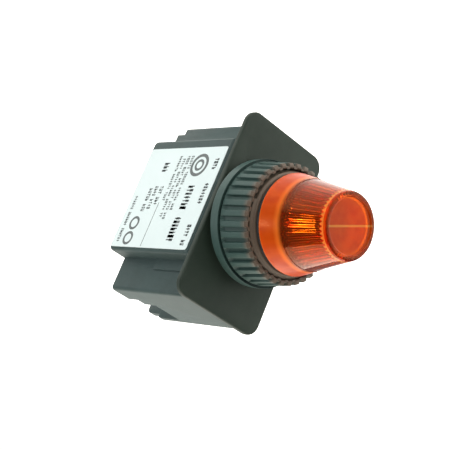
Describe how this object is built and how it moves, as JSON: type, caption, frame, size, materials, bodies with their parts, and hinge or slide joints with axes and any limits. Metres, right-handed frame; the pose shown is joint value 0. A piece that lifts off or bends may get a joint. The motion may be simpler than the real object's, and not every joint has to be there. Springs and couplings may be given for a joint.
{
  "type": "panel pilot light",
  "caption": "Panel pilot light: amber conical lens on a threaded bushing with knurled ring nut, flange plate and rear transformer housing with screw terminals.",
  "frame": {"origin": "centre of the bushing at the flange plate's front face, on which the panel bears", "axes": "-Y points out of the panel through the lens; +Z is along the flange plate's long side; +X is the side with the rating label"},
  "size_m": [0.0358, 0.0834, 0.057],
  "materials": {
    "black_plastic": "matt, finely textured",
    "housing_plastic": "matt, finely textured",
    "rubber": "matt",
    "amber_lens": "clear amber, glossy",
    "label_film": "satin white film with grey print",
    "brass": "satin",
    "lamp_brass": "bright nickelled brass",
    "phenolic": "satin brown",
    "spring_steel": "drawn wire",
    "lamp_glass": "clear",
    "tungsten": "wire",
    "plated_steel": "zinc plated",
    "core_steel": "stacked laminations, varnished",
    "nylon": "natural",
    "copper": "enamelled copper wire",
    "wire_jacket": "insulated lead"
  },
  "bodies": {
    "base": {"panel_base": "black_plastic", "housing": "housing_plastic", "rating_label": "label_film", "module_screws": "plated_steel", "socket_shell": "brass", "socket_insulator": "phenolic", "socket_lugs": "brass", "contact_spring": "spring_steel", "terminal_plate_a": "brass", "terminal_plate_b": "brass", "core": "core_steel", "bobbin": "nylon", "primary_coil": "copper", "secondary_coil": "copper", "lead_wires": "wire_jacket"},
    "washer": {"trim_washer": "black_plastic", "gasket": "rubber"},
    "ring": {"mounting_ring": "black_plastic"},
    "seal": {"lens_seal": "rubber"},
    "lens": {"lens": "amber_lens"},
    "contact": {"contact_button": "brass"},
    "lamp": {"lamp_base": "lamp_brass", "lamp_glass": "lamp_glass", "lamp_filament": "tungsten"},
    "clamp_a": {"terminal_clamp_a": "plated_steel"},
    "screw_a": {"terminal_screw_a": "plated_steel"},
    "clamp_b": {"terminal_clamp_b": "plated_steel"},
    "screw_b": {"terminal_screw_b": "plated_steel"}
  },
  "joints": [
    {"name": "washer_slide", "type": "slide", "parent": "base", "child": "washer", "axis": [0, -1, 0], "range_m": [-0.00227, 0.01052]},
    {"name": "ring_turn", "type": "hinge", "parent": "washer", "child": "ring", "pos_m": [0, 0, 0], "axis": [0, -1, 0], "range_deg": [-540, 2520]},
    {"name": "seal_slide", "type": "slide", "parent": "base", "child": "seal", "axis": [0, -1, 0], "range_m": [-0.00001, 0.00502]},
    {"name": "lens_turn", "type": "hinge", "parent": "seal", "child": "lens", "pos_m": [0, 0, 0], "axis": [0, -1, 0], "range_deg": [0, 900]},
    {"name": "contact_push", "type": "slide", "parent": "base", "child": "contact", "axis": [0, 1, 0], "range_m": [0, 0.0015], "stiffness_N_per_m": 400, "springref_m": -0.003, "deforming": ["contact_spring"]},
    {"name": "lamp_turn", "type": "hinge", "parent": "contact", "child": "lamp", "pos_m": [0, 0, 0], "axis": [0, 1, 0], "range_deg": [0, 25]},
    {"name": "clamp_a_lift", "type": "slide", "parent": "base", "child": "clamp_a", "axis": [0, 1, 0], "range_m": [0, 0.0025]},
    {"name": "screw_a_turn", "type": "hinge", "parent": "clamp_a", "child": "screw_a", "pos_m": [-0.0058, 0, 0.0219], "axis": [0, 1, 0], "range_deg": [-5, 1805]},
    {"name": "clamp_b_lift", "type": "slide", "parent": "base", "child": "clamp_b", "axis": [0, 1, 0], "range_m": [0, 0.0025]},
    {"name": "screw_b_turn", "type": "hinge", "parent": "clamp_b", "child": "screw_b", "pos_m": [-0.0058, 0, -0.0219], "axis": [0, 1, 0], "range_deg": [-5, 1805]}
  ],
  "couplings": [
    {"joint": "washer_slide", "follows": "ring_turn", "m_per_rad": 0.00023873},
    {"joint": "seal_slide", "follows": "lens_turn", "m_per_rad": 0.00031831},
    {"joint": "screw_a_turn", "follows": "clamp_a_lift", "rad_per_m": 12566},
    {"joint": "screw_b_turn", "follows": "clamp_b_lift", "rad_per_m": 12566}
  ]
}
